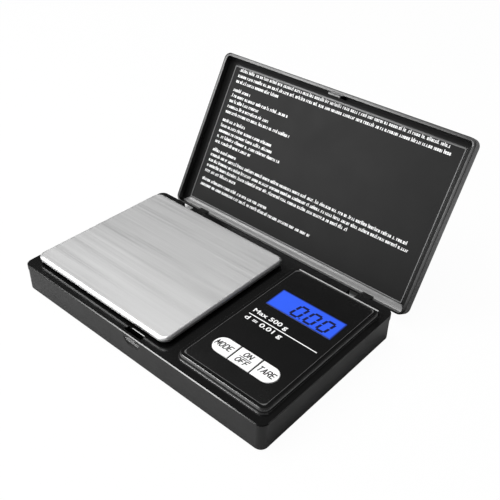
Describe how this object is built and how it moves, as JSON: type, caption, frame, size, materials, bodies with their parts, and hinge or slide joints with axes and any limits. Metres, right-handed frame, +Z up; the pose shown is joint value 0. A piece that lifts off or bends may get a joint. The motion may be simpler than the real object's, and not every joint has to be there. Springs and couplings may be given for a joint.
{
  "type": "digital gram scale",
  "caption": "Pocket gram scale: hinged lid over a flat case with a brushed steel weighing pan, a backlit display and a row of white keys.",
  "frame": {"origin": "on the surface that the feet stand on, under the middle of the open scale's box", "axes": "+X along the case's width, left to right; +Y from the front of the case to the hinge; +Z up"},
  "size_m": [0.127, 0.1248, 0.0686],
  "materials": {
    "case_plastic": "fine-textured black ABS, semi-matte",
    "deck_plastic": "smooth black ABS, satin gloss",
    "panel_film": "black printed film, satin",
    "display_lens": "clear lens",
    "display_lit": "blue-lit liquid crystal display",
    "light_guide": "milky light guide",
    "elastomer": "striped conductive elastomer",
    "board_green": "green solder mask",
    "key_white": "white moulded keys",
    "dome_steel": "bright snap domes",
    "pan_steel": "brushed stainless, grain along the width",
    "screw_steel": "zinc-plated screws and pins",
    "cell_aluminium": "milled aluminium",
    "silicone": "white silicone coating",
    "lead_red": "insulated leads",
    "cell_jacket": "plain dark jacket on a steel can",
    "contact_nickel": "nickel-plated spring steel",
    "foot_rubber": "black rubber",
    "lid_plastic": "black ABS, semi-matte",
    "liner_film": "dark printed card"
  },
  "bodies": {
    "case": {"lower_case": "case_plastic", "deck": "deck_plastic", "overlay": "panel_film", "display_window": "display_lens", "display_glass": "display_lit", "backlight": "light_guide", "elastomer_strip": "elastomer", "circuit_board": "board_green", "board_screws": "screw_steel", "mode_dome": "dome_steel", "power_dome": "dome_steel", "tare_dome": "dome_steel", "load_cell": "cell_aluminium", "gauge_coating": "silicone", "cell_spacer": "screw_steel", "cell_screws": "screw_steel", "overload_screw": "screw_steel", "cell_lead": "lead_red", "battery_a": "cell_jacket", "battery_b": "cell_jacket", "contact_bridge": "contact_nickel", "contact_minus": "contact_nickel", "contact_plus": "contact_nickel", "battery_leads": "lead_red", "case_screws": "screw_steel", "foot_front_left": "foot_rubber", "foot_front_right": "foot_rubber", "foot_back_left": "foot_rubber", "foot_back_right": "foot_rubber", "hinge_pin_left": "screw_steel", "hinge_pin_right": "screw_steel"},
    "pan_body": {"pan": "pan_steel", "pan_carrier": "case_plastic", "carrier_screws": "screw_steel"},
    "lid": {"lid_shell": "lid_plastic", "lid_liner": "liner_film"},
    "mode_button": {"mode_key": "key_white"},
    "power_button": {"power_key": "key_white"},
    "tare_button": {"tare_key": "key_white"},
    "door": {"battery_door": "case_plastic"}
  },
  "joints": [
    {"name": "lid_hinge", "type": "hinge", "parent": "case", "child": "lid", "pos_m": [0, 0.01379, 0.00561], "axis": [1, 0, 0], "range_deg": [0, 119.3]},
    {"name": "pan_travel", "type": "slide", "parent": "case", "child": "pan_body", "axis": [0, 0, -1], "range_m": [0, 0.0004], "stiffness_N_per_m": 16000, "deforming": ["load_cell"]},
    {"name": "mode_press", "type": "slide", "parent": "case", "child": "mode_button", "axis": [0, 0, -1], "range_m": [0, 0.00035], "stiffness_N_per_m": 2000, "deforming": ["mode_dome"]},
    {"name": "power_press", "type": "slide", "parent": "case", "child": "power_button", "axis": [0, 0, -1], "range_m": [0, 0.00035], "stiffness_N_per_m": 2000, "deforming": ["power_dome"]},
    {"name": "tare_press", "type": "slide", "parent": "case", "child": "tare_button", "axis": [0, 0, -1], "range_m": [0, 0.00035], "stiffness_N_per_m": 2000, "deforming": ["tare_dome"]},
    {"name": "door_slide", "type": "slide", "parent": "case", "child": "door", "axis": [-1, 0, 0], "range_m": [0, 0.028]}
  ]
}
